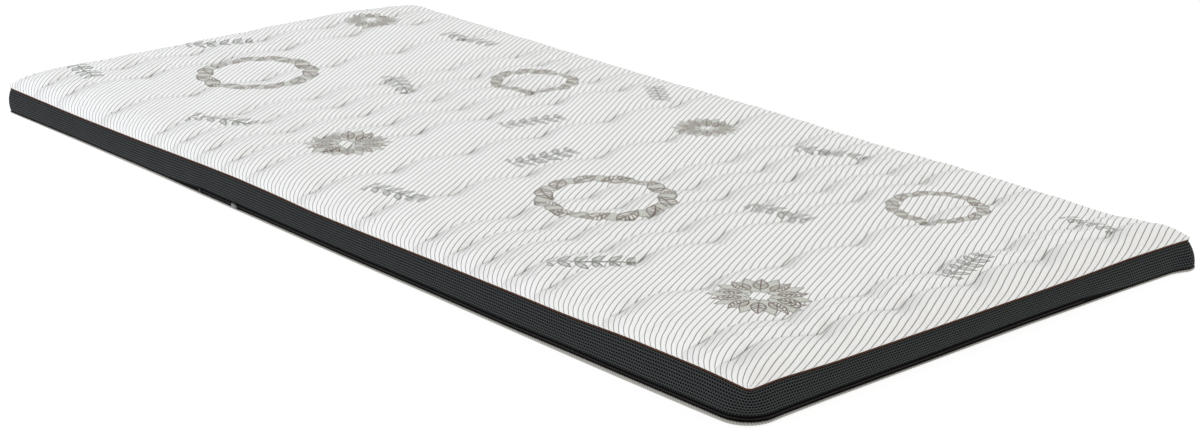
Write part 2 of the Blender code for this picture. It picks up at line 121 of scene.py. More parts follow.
def add(tree, kind, sockets=(), **settings):
    """Add a shader node. kind is its type, and after a space its mode. sockets: a
    list in order, or a dict by name, of values, hex colours, nodes or sockets."""
    kind, *mode = kind.split()
    node = tree.nodes.new("ShaderNode" + kind)
    if mode:
        setattr(node, MODES[kind], mode[0])
    for name, value in settings.items():
        setattr(node, name, value)
    pairs = sockets.items() if isinstance(sockets, dict) else enumerate(sockets)
    for name, value in pairs:
        value = output(value)
        if isinstance(value, bpy.types.NodeSocket):
            tree.links.new(value, node.inputs[name])
        else:
            colour = isinstance(value, str)
            node.inputs[name].default_value = linear(value) if colour else value
    return node


def start_material(name, **values):
    """New material with a Principled shader, and its uniform values set on it."""
    material = bpy.data.materials.new(name)
    material.use_nodes = True
    shader = material.node_tree.nodes["Principled BSDF"]
    for key, value in values.items():
        shader.inputs[key.replace("_", " ")].default_value = value
    return material, material.node_tree, shader


def on_map(tree, name="cloth"):
    """The piece's place on a UV map, and the map's two parts."""
    place = add(tree, "UVMap", uv_map=name)
    parts = add(tree, "SeparateXYZ", [place])
    return place, parts.outputs["X"], parts.outputs["Y"]


def two_tones(tree, place, scale, detail, dark, light):
    """Noise, and a colour that drifts with it between two tones."""
    noise = add(tree, "TexNoise", {"Vector": place, "Scale": scale, "Detail": detail})
    return noise, add(tree, "Mix RGBA", {0: noise, 6: dark, 7: light})


def within_repeat(tree, value):
    """Place within a repeat that is 1 long, from -0.5 to 0.5."""
    return add(tree, "Math SUBTRACT", [add(tree, "Math FRACT", [value]), 0.5])


def finish(tree, shader, colour, height, depth, strength):
    """Join the colour to the shader, and the height as relief, depth mm deep."""
    bump = add(tree, "Bump", {"Height": height, "Distance": depth * MM,
                              "Strength": strength})
    tree.links.new(output(colour), shader.inputs["Base Color"])
    tree.links.new(output(bump), shader.inputs["Normal"])


# %% Floor and lights
FLOOR_HALF = 8                 # metres
FLOOR_DROP = 0.0004            # keeps it from touching the base
floor_mesh = bpy.data.meshes.new("floor")
floor_mesh.from_pydata([(x * FLOOR_HALF, y * FLOOR_HALF, -FLOOR_DROP) for x, y in
                        ((-1, -1), (1, -1), (1, 1), (-1, 1))], [], [(0, 1, 2, 3)])
floor = bpy.data.objects.new("floor", floor_mesh)
scene.collection.objects.link(floor)
paper = start_material(
    "white_background_paper", Base_Color=linear("#8C8C8C"), Roughness=0.95,
    Emission_Color=linear("#FFFFFF"), Emission_Strength=0.82)[0]
floor_mesh.materials.append(paper)

world = bpy.data.worlds.new("studio")
world.use_nodes = True
sky = world.node_tree.nodes["Background"].inputs
sky["Color"].default_value, sky["Strength"].default_value = linear("#FFFFFF"), 0.58
scene.world = world
scene.view_settings.view_transform = "Standard"

# Two large softboxes far off keep the light even from end to end, and one near
# the left end adds a little cool light there: name, kind of lamp, azimuth,
# elevation, half of the angle it fills or its side in metres, strength, colour
LIGHTS = [
    ("key_softbox", "SUN", 150, 55, 30, 0.65, "#FFFDF8"),
    ("fill_softbox", "SUN", -20, 42, 40, 0.6, "#FFFDF8"),
    ("left_softbox", "AREA", -55, 26, 2.0, 34.0, "#DCE9FF"),
]
for name, kind, azimuth, elevation, size, strength, colour in LIGHTS:
    lamp = bpy.data.lights.new(name, kind)
    if kind == "SUN":
        lamp.angle = math.radians(size)
    else:
        lamp.size = size
    lamp.energy, lamp.color = strength, linear(colour)[:3]
    stand = bpy.data.objects.new(name, lamp)
    stand.location = 4 * away(azimuth, elevation)
    stand.rotation_euler = (math.radians(90 - elevation), 0, math.radians(azimuth))
    scene.collection.objects.link(stand)

# %% [markdown]
# ## Where the seams run
#
# The topper is a soft thing, so none of its lines is quite straight. The same
# few heights that the solids were drawn from are noted here: how high the
# base's edge lifts off the floor, how far the foot stands outside the seam,
# and how high the seam runs, at places all the way round. Between them the
# lines are eased with a short average, because sewn cloth has no corners.

# %% Outline and heights
CORD_TOP_RADIUS = 1.1 * MM
CORD_TOP_INSET = 1.0 * MM
CORD_BASE_RADIUS = 0.9 * MM
CORD_BASE_INSET = 1.2 * MM
GAP = 0.3 * MM
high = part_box("top_cord")[1]
HALF_X = high[0] + CORD_TOP_INSET - CORD_TOP_RADIUS
HALF_Y = high[1] + CORD_TOP_INSET - CORD_TOP_RADIUS
LENGTH, WIDTH = 2 * HALF_X, 2 * HALF_Y
SIDES = np.array([LENGTH, WIDTH, LENGTH, WIDTH])
ALONG = np.array([(1, 0), (0, 1), (-1, 0), (0, -1)], float)
OUTWARDS = np.array([(0, -1), (1, 0), (0, 1), (-1, 0)], float)
# Corner radii from the front left one on, anticlockwise
SEAM_CORNERS = np.array([8, 8, 2, 8]) * MM
FOOT_CORNERS = np.array([12, 40, 12, 14]) * MM
PERIMETER = SIDES.sum()

# place: 0 to 1 along the front, 1 to 2 up the right end, 2 to 3 along the
# back, 3 to 4 down the left end. The rest is in mm.
ROUND_COLUMNS = ("place", "rim", "flare", "seam", "tuck")
ROUND_ROWS = np.array([
    (0.00, 2.0, 4.0, 44.0, 7.0),
    (0.13, 4.5, 4.0, 43.5, 9.0),
    (0.24, 5.5, 4.5, 46.3, 10.0),
    (0.34, 5.0, 6.0, 50.3, 10.0),
    (0.39, 5.0, 7.0, 51.5, 9.0),
    (0.45, 5.3, 8.0, 50.2, 9.0),
    (0.50, 5.0, 8.5, 47.5, 6.0),
    (0.56, 4.8, 9.0, 48.0, 7.0),
    (0.66, 5.8, 10.0, 50.0, 8.0),
    (0.77, 5.8, 11.0, 51.5, 7.0),
    (0.82, 6.8, 11.0, 51.5, 4.5),
    (0.88, 7.0, 11.0, 55.3, 4.5),
    (0.96, 7.0, 10.0, 55.8, 5.0),
    (1.00, 6.0, 8.0, 52.0, 7.0),
    (1.06, 6.8, 5.0, 53.5, 11.0),
    (1.16, 6.2, 3.0, 49.8, 12.0),
    (1.38, 5.0, 1.0, 47.7, 12.0),
    (1.50, 5.8, 0.8, 47.1, 12.0),
    (1.60, 5.8, 0.5, 46.8, 12.0),
    (1.72, 5.2, 1.0, 46.5, 11.0),
    (1.84, 4.5, 1.5, 47.8, 10.0),
    (1.96, 4.6, 4.0, 45.8, 8.5),
    (2.00, 5.5, 18.0, 44.2, 8.0),
    (2.05, 4.0, 5.0, 42.8, 8.0),
    (2.25, 3.5, 4.0, 43.0, 8.0),
    (2.50, 3.0, 4.0, 44.5, 8.0),
    (2.75, 3.5, 4.5, 45.0, 8.0),
    (3.00, 3.0, 4.0, 46.0, 7.0),
    (3.30, 3.0, 3.5, 47.0, 8.0),
    (3.60, 3.0, 3.5, 45.0, 8.0),
    (4.00, 2.0, 4.0, 44.0, 7.0),
])
EASE = 0.015                   # of a side, half the span of the average


def round_value(column, place):
    """Value of a column at places round the topper, in metres: the mean of
    seven straight readings spread over plus and minus EASE."""
    k = ROUND_COLUMNS.index(column)
    steps = np.linspace(-EASE, EASE, 7)
    wanted = np.mod(np.asarray(place, float)[..., None] + steps, 4)
    return np.interp(wanted, ROUND_ROWS[:, 0], ROUND_ROWS[:, k]).mean(axis=-1) * MM


def outline(place, corners):
    """Points and outward normals on a rectangle whose corners are arcs.
    On a side the point is start + along * d. Within a corner's radius of its
    end, the turn grows evenly to 45 degrees, on a circle of that radius."""
    place = np.mod(np.asarray(place, float), 4)
    side = np.floor(place).astype(int)
    along, out, length = ALONG[side], OUTWARDS[side], SIDES[side]
    start = (out - along) * (HALF_X, HALF_Y)
    d = (place - side) * length
    first, last = corners[side], corners[(side + 1) % 4]
    near, far = np.clip(1 - d / first, 0, 1), np.clip(1 - (length - d) / last, 0, 1)
    turn = np.radians(45) * (far - near)
    normal = out * np.cos(turn)[..., None] + along * np.sin(turn)[..., None]
    radius = np.where(d < length / 2, first, last)[..., None]
    flat = np.clip(d, first, length - last)
    centre = start + along * flat[..., None] - out * radius
    return centre + normal * radius, normal


def even_places(step, first=0.0, last=4.0):
    """Places about a step apart in metres, with more of them in the corners."""
    found = []
    turn = FOOT_CORNERS.max()
    for side, size in enumerate(SIDES):
        bend = np.linspace(0, turn, 13)
        middle = np.linspace(turn, size - turn, int((size - 2 * turn) / step))
        d = np.concatenate([bend, middle[1:-1], size - bend[::-1]])[:-1]
        found.append(side + d / size)
    found = np.concatenate(found)
    return found[(found >= first) & (found <= last)]


def foot_ring(place, inset, lift):
    """Ring at the foot's outline: out by flare less inset, at the given lifts."""
    spot, normal = outline(place, FOOT_CORNERS)
    spot = spot + normal * (round_value("flare", place) - inset)[..., None]
    return np.concatenate([spot, lift[..., None]], axis=-1)


def outwards_at(place):
    """Level unit vectors that point out from the foot's outline."""
    return np.pad(outline(place, FOOT_CORNERS)[1], ((0, 0), (0, 1)))


def seam_ring(place, inset, rise=0.0):
    """Ring at the top seam's outline, in by inset, above the seam by rise."""
    spot, normal = outline(place, SEAM_CORNERS)
    spot = spot - normal * inset
    return np.concatenate([spot, (round_value("seam", place) + rise)[..., None]], axis=-1)


print(f"seam rectangle {LENGTH * 1000:.0f} x {WIDTH * 1000:.0f} mm")

# %% [markdown]
# ## From a grid to a mesh
#
# A cloth piece is a grid of points: one direction round or along the piece,
# the other across it. The faces of a grid follow from its size alone, so one
# function makes every such mesh, and the UV map keeps real millimetres on the
# cloth, which later carry the weave and the stripes round every bend.

# %% Mesh helper


def grid_faces(rows, columns, wrap_rows=False, wrap_columns=False):
    """Quads of a grid with its points numbered row by row:
    point (i, j) joins (i + 1, j), (i + 1, j + 1) and (i, j + 1)."""
    i = np.arange(rows if wrap_rows else rows - 1)[:, None]
    j = np.arange(columns if wrap_columns else columns - 1)[None, :]
    below, beside = (i + 1) % rows, (j + 1) % columns
    quads = np.broadcast_arrays(i * columns + j, below * columns + j,
                                below * columns + beside, i * columns + beside)
    return np.stack(quads, axis=-1).reshape(-1, 4)


def all_pairs(along, up):
    """Grid of every number along with every number up, as UV pairs."""
    return np.stack(np.broadcast_arrays(along[:, None], up[None, :]), axis=-1)


def read(items, name, width=1, kind=np.float64):
    """One property of all a mesh's items, as rows of so many numbers."""
    found = np.empty(len(items) * width, dtype=kind)
    items.foreach_get(name, found)
    return found.reshape(-1, width) if width > 1 else found


def build_piece(name, points, faces, material, uv=None, sharp=None):
    """Mesh object from points, faces and a UV pair for each point."""
    mesh = bpy.data.meshes.new(name)
    mesh.from_pydata(np.asarray(points).reshape(-1, 3).tolist(), [],
                     [list(map(int, face)) for face in faces])
    if uv is not None:
        point_of = read(mesh.loops, "vertex_index", kind=np.int32)
        corners = np.asarray(uv).reshape(-1, 2)[point_of]
        mesh.uv_layers.new(name="cloth").data.foreach_set("uv", corners.ravel())
    mesh.materials.append(material)
    mesh.update()
    mesh.shade_smooth()
    if sharp is not None:
        mesh.set_sharp_from_angle(angle=math.radians(sharp))
    piece = bpy.data.objects.new(name, mesh)
    scene.collection.objects.link(piece)
    return piece


def dress(piece, node):
    """The piece moves with the topper and stands for its solid, which is hidden."""
    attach(piece, "root")
    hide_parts(node)

# %% [markdown]
# ## The form of the quilted top
#
# A topper's cover is sewn through to a thin layer of wadding along rows that
# wave across the width, all in step, then fitted over foam. So the top is a
# crown, rounded at its edges, with valleys along the rows. Here the columns of
# the grid follow the rows of stitching, and they crowd together beside them,
# so that each valley can be narrow without wasting points on the puffs.

# %% Sizes of the quilting and the crown
STITCH_ROWS = np.array([-920, -842, -765, -615, -460, -388, -315, -240, -168, -30,
                        118, 265, 333, 398, 468, 535, 675, 828, 890]) * MM
WAVE_LENGTH = 147.5 * MM
WAVE_SWING = 11 * MM
WAVE_CREST = 10 * MM
WAVE_LEAN = 0.35
WAVE_FADE = 45 * MM            # over this the waves straighten to the ends
EDGE_SWEEP = 12 * MM           # the rows sweep left as they turn down the sides
SWEEP_REACH = 70 * MM
CROWN = 26 * MM
CROWN_LEFT_GAIN = 7 * MM
LEFT_GAIN_FROM = 0.2           # metres left of the middle
LEFT_GAIN_OVER = 0.7           # metres from there to where it is full
CROWN_BACK_LOSS = 10 * MM
BACK_FALL = (250 * MM, 200 * MM)    # from this Y on, over this much
# The filling is uneven along the back: X in m, and mm that the crown rises there
BACK_RISES = np.array([
    (-0.95, 0.0), (-0.82, -2.5), (-0.50, -1.0), (-0.20, 0.5), (-0.05, 3.5),
    (0.12, 5.0), (0.22, 1.0), (0.33, -1.5), (0.42, 0.5), (0.55, 3.5), (0.65, 1.0),
    (0.72, 0.0), (0.785, -6.0), (0.83, 0.0), (0.87, 4.5), (0.90, 10.0), (0.95, 14.0),
])
RISE_EASE = 15 * MM            # half the span of the average
CROWN_REACH = 70 * MM
CROWN_POWER = 2.2
LIP_HEIGHT = 4.5 * MM
LIP_OUTSET = 1.0 * MM
VALLEY_DEPTH = 3.2 * MM        # of the broad dip along a row
GROOVE_DEPTH = 2.0 * MM        # of the fold in its bottom
GROOVE_WIDTH = 1.8 * MM
PULL_LEAD = 0.4                # radians by which the pull leads the wave
TUCK_DEPTH = 0.8 * MM          # the cloth also sinks to the right of the fold
TUCK_OFFSET = 6 * MM
TUCK_WIDTH = 6 * MM
PUFF_POWER = 0.55
PULL_POWER = 0.7
# Shares of their depth with no pull, and what the full pull adds
VALLEY_SHARES = (0.75, 0.45)
GROOVE_SHARES = (0.3, 0.7)
# No two puffs are alike: size, and radians a metre along X and Y
UNEVEN = [(0.22, 31, 7), (0.15, -19, 57)]


def soft_step(value):
    """0 to 1 with level ends: 3 v^2 - 2 v^3."""
    value = np.clip(value, 0, 1)
    return value * value * (3 - 2 * value)


def wave_phase(y):
    """Angle along the wave, 0 at its crests."""
    return 2 * np.pi * (y - WAVE_CREST) / WAVE_LENGTH


def wave_shift(y):
    """Sideways shift of the rows: swing * cos(p + lean * sin p), less a sweep
    to the left within SWEEP_REACH of the two long edges."""
    phase = wave_phase(y)
    sweep = 1 - soft_step((HALF_Y - np.abs(y)) / SWEEP_REACH)
    return WAVE_SWING * np.cos(phase + WAVE_LEAN * np.sin(phase)) - EDGE_SWEEP * sweep


def crown_profile(distance):
    """Quarter of a superellipse: (1 - (1 - d / reach)^p)^(1 / p)."""
    rest = 1 - np.clip(distance / CROWN_REACH, 0, 1)
    return (1 - rest ** CROWN_POWER) ** (1 / CROWN_POWER)


def crown_height(x, y):
    """Height over the seam in the middle: fuller to the left, lower at the back."""
    left = soft_step((-x - LEFT_GAIN_FROM) / LEFT_GAIN_OVER)
    back = soft_step((y - BACK_FALL[0]) / BACK_FALL[1])
    swell = 1.0 * MM * np.sin(5.3 * x + 2.1) * np.cos(4.2 * y + 0.4)
    spread = np.linspace(-RISE_EASE, RISE_EASE, 5)
    uneven = np.interp(x[..., None] + spread, *BACK_RISES.T).mean(axis=-1) * MM
    return CROWN + CROWN_LEFT_GAIN * left + (uneven - CROWN_BACK_LOSS) * back + swell


def edge_steps(count):
    """Distances from an edge that follow the superellipse at even turns:
    d = reach * (1 - cos(t)^(2 / p))."""
    turn = np.linspace(0, np.pi / 2, count)
    return CROWN_REACH * (1 - np.cos(turn) ** (2 / CROWN_POWER))


def seam_under(x, y):
    """Height of the seam under a point: the four nearest seam heights, each
    weighed by one over its distance squared."""
    places = np.stack([(x + HALF_X) / LENGTH, 1 + (y + HALF_Y) / WIDTH,
                       2 + (HALF_X - x) / LENGTH, 3 + (HALF_Y - y) / WIDTH])
    away_from = np.stack([y + HALF_Y, HALF_X - x, HALF_Y - y, x + HALF_X])
    weight = 1 / (np.abs(away_from) + 5 * MM) ** 2
    return (weight * round_value("seam", places)).sum(axis=0) / weight.sum(axis=0)


# %% Columns and rows of the fine grid
CROWDING = 0.11                # how far the columns crowd towards the stitch rows


def between_rows(left, right, cells):
    """Shares 0 to 1 across a puff, closer together at its two rows:
    s - crowding * sin(2 pi s)."""
    share = np.arange(cells) / cells
    return left + (right - left) * (share - CROWDING * np.sin(2 * np.pi * share))


def panel_columns(pitch, edge_count):
    """X of each column, before the wave moves it."""
    ends = edge_steps(edge_count)
    first = ends[ends < STITCH_ROWS[0] + HALF_X - pitch / 2]
    last = ends[ends < HALF_X - STITCH_ROWS[-1] - pitch / 2]
    parts = [-HALF_X + first]
    for left, right in zip(STITCH_ROWS, STITCH_ROWS[1:]):
        cells = max(4, int(round((right - left) / pitch)))
        parts.append(between_rows(left, right, cells))
    parts += [STITCH_ROWS[-1:], HALF_X - last[::-1]]
    return np.concatenate(parts)


def panel_rows(pitch, edge_count):
    """Y of each row of the grid, closer together where the edges round off."""
    edge = edge_steps(edge_count)
    reach = HALF_Y - edge[-1]
    middle = np.linspace(-reach, reach, int(2 * reach / pitch))
    return np.concatenate([-HALF_Y + edge, middle[1:-1], HALF_Y - edge[::-1]])


def beside_rows(base_x):
    """Distance to the nearest stitch row, plus to its right and minus to its
    left, and the fullness sin(pi s)^p between two rows."""
    fences = np.concatenate([[-HALF_X - 30 * MM], STITCH_ROWS, [HALF_X + 20 * MM]])
    k = np.clip(np.searchsorted(fences, base_x, side="right") - 1, 0, len(fences) - 2)
    gap = fences[k + 1] - fences[k]
    share = np.clip((base_x - fences[k]) / gap, 0, 1)
    from_rows = base_x[..., None] - STITCH_ROWS
    nearest = np.abs(from_rows).argmin(axis=-1)[..., None]
    signed = np.take_along_axis(from_rows, nearest, axis=-1)[..., 0]
    return signed, np.sin(np.pi * share) ** PUFF_POWER


def top_surface(base_x, y):
    """The quilted top over a grid of base_x and y. Returns its points, the
    signed distance from the nearest row, and how hard the row pulls, 0 to 1."""
    base_x, y = np.meshgrid(base_x, y, indexing="ij")
    inside = HALF_X - np.abs(base_x)
    x = base_x + wave_shift(y) * soft_step(inside / WAVE_FADE)
    rise = crown_profile(HALF_X - np.abs(x)) * crown_profile(HALF_Y - np.abs(y))
    beside, full = beside_rows(base_x)
    pull = np.clip(np.sin(wave_phase(y) + PULL_LEAD), 0, 1) ** PULL_POWER
    uneven = sum((size * np.sin(a * base_x + b * y) for size, a, b in UNEVEN), 1)
    valley = VALLEY_DEPTH * (full - 1)
    valley = valley * (VALLEY_SHARES[0] + VALLEY_SHARES[1] * pull) * uneven
    groove = GROOVE_SHARES[0] + GROOVE_SHARES[1] * pull
    groove = groove * np.exp(-(beside / GROOVE_WIDTH) ** 2)
    tuck = np.exp(-((beside - TUCK_OFFSET) / TUCK_WIDTH) ** 2) * pull
    relief = (valley - GROOVE_DEPTH * groove - TUCK_DEPTH * tuck) * rise
    z = seam_under(x, y) + LIP_HEIGHT + (crown_height(x, y) - LIP_HEIGHT) * rise + relief
    return np.stack([x, y, z], axis=-1), beside, pull * soft_step(rise)


def arc_outwards(value, half_size):
    """Length along the crown's section from the middle, with value's sign."""
    d = np.linspace(0, CROWN_REACH, 400)
    section = np.hypot(np.diff(d), np.diff(CROWN * crown_profile(d)))
    spare = np.concatenate([[0], np.cumsum(section)])      # from the edge inwards
    depth = half_size - np.abs(value)
    inside = np.interp(np.clip(depth, 0, CROWN_REACH), d, spare)
    total = spare[-1] + half_size - CROWN_REACH
    inside = np.where(depth > CROWN_REACH, spare[-1] + depth - CROWN_REACH, inside)
    return np.sign(value) * (total - inside)


FINE_PITCH = 4.7 * MM
EDGE_COUNT = 20
fine_x = panel_columns(FINE_PITCH, EDGE_COUNT)
fine_y = panel_rows(FINE_PITCH, EDGE_COUNT)
print(f"top grid: {len(fine_x)} columns, {len(fine_y)} rows")
top_points, top_beside, top_pull = top_surface(fine_x, fine_y)

# %% [markdown]
# ## Close the top into a pad
#
# The edge of the grid is the lip that bulges a little past the seam. From
# there the cover tucks in behind the seam cord, and the filling goes straight
# down inside the border to the base. These rings are hidden, but they close
# the pad, so that it is one filled thing and not an empty skin.

# %% Lip, tuck and underside
PAD_BOTTOM = 2.8 * MM          # just over the base panel
PAD_OVER_RIM = 5.4 * MM        # where the filling leaves the border


def border_walk(columns, rows):
    """Indices of a grid's edge points in a loop, front, right, back, left."""
    i, j = np.arange(columns), np.arange(rows)
    return np.concatenate([i[:-1] * rows, (columns - 1) * rows + j[:-1],
                           i[:0:-1] * rows + rows - 1, j[:0:-1]])


def close_pad(points, uv):
    """Add the lip's under-rings and a flat underside to the open grid."""
    columns, rows = points.shape[:2]
    walk = border_walk(columns, rows)
    flat = points.reshape(-1, 3)
    side = np.repeat(np.arange(4), [columns - 1, rows - 1] * 2)
    x, y = flat[walk, 0], flat[walk, 1]
    share = np.choose(side, [(x + HALF_X) / LENGTH, (y + HALF_Y) / WIDTH,
                             (HALF_X - x) / LENGTH, (HALF_Y - y) / WIDTH])
    place = side + np.clip(share, 0, 1)
    lip = seam_ring(place, -LIP_OUTSET, LIP_HEIGHT)
    flat[walk] = lip
    base = np.full(len(place), PAD_BOTTOM)
    foot = round_value("rim", place) + PAD_OVER_RIM
    rings = [
        seam_ring(place, -0.6 * MM, 2.6 * MM),
        seam_ring(place, 0.5 * MM, 1.5 * MM),
        seam_ring(place, 2.7 * MM, 1.0 * MM),
        seam_ring(place, 3.9 * MM, -1.1 * MM),
        foot_ring(place, 6.2 * MM, foot),
        foot_ring(place, 12 * MM, base),
    ]
    faces = [tuple(face) for face in grid_faces(columns, rows)]
    uv_rings = [uv.reshape(-1, 2)]
    above, previous, step = walk, lip, 0.0
    for k, ring in enumerate(rings):
        own = len(flat) + k * len(walk) + np.arange(len(walk))
        faces += list(zip(above, own, np.roll(own, -1), np.roll(above, -1)))
        step = step + np.linalg.norm(ring - previous, axis=1).mean()
        uv_rings.append(uv_rings[0][walk] + OUTWARDS[side] * step)
        above, previous = own, ring
    faces.append(tuple(above[::-1]))
    return np.concatenate([flat] + rings), faces, np.concatenate(uv_rings)


top_uv = np.stack([arc_outwards(top_points[..., 0], HALF_X),
                   arc_outwards(top_points[..., 1], HALF_Y)], axis=-1)

# %% [markdown]
# ## Let the filling push the cloth up
#
# Between two rows of stitching the cover is a small pillow. How it puckers
# where the rows hold it is hard to draw and easy to simulate: a coarser copy
# of the same surface becomes cloth, its rows and its rim are pinned, the cloth
# is let grow a little and the air under it presses up. What each point moved
# is capped, eased with a cubic between the coarse points, and added to the
# fine grid, whose columns run along the very same rows.

# %% Swell the top with a short cloth simulation
SWELL_PITCH = 9 * MM
SWELL_FRAMES = 14
SWELL_CAP = 1.6 * MM
# A shrink below 0 lets the cloth grow
CLOTH_SETTINGS = {
    "quality": 4, "mass": 0.25, "tension_stiffness": 12, "compression_stiffness": 12,
    "bending_stiffness": 0.08, "shrink_min": -0.012, "use_pressure": True,
    "uniform_pressure_force": 2.2}


def finer(values, old, new):
    """Read values at old places, along the first axis, at new places, by the
    cubic through the two nearest whose slope at each is half the difference
    of its neighbours."""
    where = np.interp(new, old, np.arange(len(old)))
    first = np.clip(np.floor(where).astype(int), 0, len(old) - 2)
    t = (where - first)[:, None, None]
    a, b, c, d = [values[np.clip(first + k, 0, len(old) - 1)] for k in (-1, 0, 1, 2)]
    squared = 2 * a - 5 * b + 4 * c - d
    return b + 0.5 * t * (c - a + t * (squared + t * (3 * (b - c) + d - a)))


def swell(points, held):
    """Run the cloth on a grid of points and return how far each one moved."""
    columns, rows = points.shape[:2]
    draft = build_piece("draft_cloth", points, grid_faces(columns, rows), paper)
    group = draft.vertex_groups.new(name="sewn")
    group.add([int(k) for k in np.flatnonzero(held.ravel())], 1.0, "REPLACE")
    cloth = draft.modifiers.new("cloth", "CLOTH")
    settings = cloth.settings
    settings.vertex_group_mass = "sewn"
    for name, value in CLOTH_SETTINGS.items():
        setattr(settings, name, value)
    settings.effector_weights.gravity = 0
    cloth.collision_settings.use_collision = False
    for number in range(1, SWELL_FRAMES + 1):
        scene.frame_set(number)
    evaluated = draft.evaluated_get(bpy.context.evaluated_depsgraph_get())
    after = read(evaluated.data.vertices, "co", 3, np.float32)
    moved = after.reshape(points.shape) - points
    mesh = draft.data
    bpy.data.objects.remove(draft)
    bpy.data.meshes.remove(mesh)
    scene.frame_set(1)
    return moved


coarse_x = panel_columns(SWELL_PITCH, 8)
coarse_y = panel_rows(SWELL_PITCH, 8)
coarse_points = top_surface(coarse_x, coarse_y)[0]
held = np.abs(coarse_x[:, None] - STITCH_ROWS).min(axis=1)[:, None] < 0.1 * MM
held = held | np.zeros((1, len(coarse_y)), dtype=bool)
for rim_points in (held[:3], held[-3:], held[:, :3], held[:, -3:]):
    rim_points[:] = True
moved = swell(coarse_points, held)
far = np.linalg.norm(moved, axis=-1, keepdims=True)
print(f"swelling moved the cloth {far.mean() * 1000:.2f} mm on average, "
          f"{far.max() * 1000:.2f} mm at most before the cap")
moved *= SWELL_CAP * np.tanh(far / SWELL_CAP) / np.maximum(far, 1e-9)
moved = finer(moved, coarse_x, fine_x)
moved = finer(moved.transpose(1, 0, 2), coarse_y, fine_y).transpose(1, 0, 2)
top_points = top_points + moved

# %% [markdown]
# ## The knit of the top
#
# The cover is a double-knit jacquard: a white face with fine grey pinstripes
# every 9 mm, which run slantwise over the cloth and lie a little sunk in it.
# The pattern is read from the piece's own UV map, in metres along the cloth,
# so the stripes turn down over the rounded edge as they do on the real one.
#
# A print of leaves lies over the stripes. Each motif has its own place, size
# and turn. A second UV map carries the place within the nearest motif, and so
# one set of nodes draws every wreath, another every rosette and sprig.

# %% Places of the printed motifs
PRINT_REPEAT = 940             # mm, along X
PRINT_TURN = 25                # degrees, added by the repeat
# Half sizes of each motif's ground, in its radius
MOTIF_REACH = {"wreath": (1.12, 1.12), "rosette": (1.08, 1.08), "sprig": (1.05, 0.5)}
# Kind, x, y and size in mm, turn in degrees
PRINT_ROWS = [
    ("wreath", -640, -120, 230, 15),
    ("wreath", -285, 225, 165, 70),
    ("rosette", -175, -255, 150, 0),
    ("rosette", -815, 255, 120, 40),
    ("sprig", -860, -60, 140, 62),
    ("sprig", -420, 30, 130, -20),
    ("sprig", -590, 320, 140, 8),
    ("sprig", -85, 55, 130, 80),
    ("sprig", -430, -330, 140, 25),
    ("sprig", -95, 345, 120, -35),
    ("sprig", -860, -345, 130, -10),
]
KINDS = ("none", "wreath", "rosette", "sprig")


def within_motif(uv, x, y, size, turn):
    """UV places seen from a motif's centre, turned, with its radius as 1."""
    angle = math.radians(turn)
    away_by = (uv - np.array([x, y]) * MM) / (size / 2 * MM)
    return np.stack([away_by @ (math.cos(angle), math.sin(angle)),
                     away_by @ (-math.sin(angle), math.cos(angle))], axis=1)


def print_layers(mesh):
    """Write each corner's place in its face's motif, and each face's kind."""
    uv = read(mesh.uv_layers["cloth"].data, "uv", 2)
    starts = read(mesh.polygons, "loop_start", kind=np.int32)
    totals = read(mesh.polygons, "loop_total", kind=np.int32)
    face_of = np.repeat(np.arange(len(starts)), totals)
    middle = np.add.reduceat(uv, starts, axis=0) / totals[:, None]
    place, kind = np.full(uv.shape, 9.0), np.zeros(len(starts))
    for repeat in (0, 1):
        for name, x, y, size, turn in PRINT_ROWS:
            motif = (x + repeat * PRINT_REPEAT, y, size, turn + repeat * PRINT_TURN)
            seen = np.abs(within_motif(middle, *motif)) / MOTIF_REACH[name]
            near = seen.max(axis=1) < 1
            kind[near] = KINDS.index(name)
            corners = near[face_of]
            place[corners] = within_motif(uv[corners], *motif)
    mesh.uv_layers.new(name="motif").data.foreach_set("uv", place.ravel())
    mesh.attributes.new("kind", "FLOAT", "FACE").data.foreach_set("value", kind)


# %% [markdown]
# ## Leaves, drawn with a few formulas
#
# A leaf is the space between two curves. Along its midrib t runs from 0 at
# the stalk to 1 at the tip, and the half width is w / 2 * sin(pi * t^0.8). A
# wreath is a turn cut into equal slices with a leaf in each, once leaning out
# and once leaning in. A rosette has its leaves pointing away from the middle,
# and a sprig has them in pairs along a stem. Some leaves are stippled, others
# only have rungs, as in a woodcut, so the print stays light.

# %% A leaf
WREATH_LEAVES = 12
ROSETTE_LEAVES = 10
SPRIG_PAIRS = 5
SPRIG_LEAN = 48                # degrees
STEM_HALF, STEM_REACH = 0.024, 0.88


